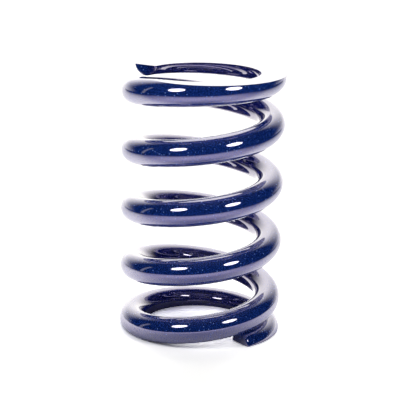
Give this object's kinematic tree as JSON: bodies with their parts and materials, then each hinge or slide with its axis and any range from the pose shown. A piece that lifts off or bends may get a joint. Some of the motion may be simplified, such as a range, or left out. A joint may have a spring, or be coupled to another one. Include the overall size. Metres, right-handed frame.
{
  "type": "coilover spring",
  "caption": "Cylindrical compression spring of heavy round wire for a coilover damper, both end coils closed and ground flat, painted metallic blue.",
  "frame": {"origin": "on the coil axis, in the plane of the lower ground face", "axes": "+Z along the coil axis, from the lower ground face to the upper one"},
  "size_m": [0.0936, 0.0936, 0.15],
  "materials": {
    "blue_paint": "gloss metallic paint under a clear coat"
  },
  "bodies": {
    "root": {"coil_spring": "blue_paint"}
  },
  "joints": []
}
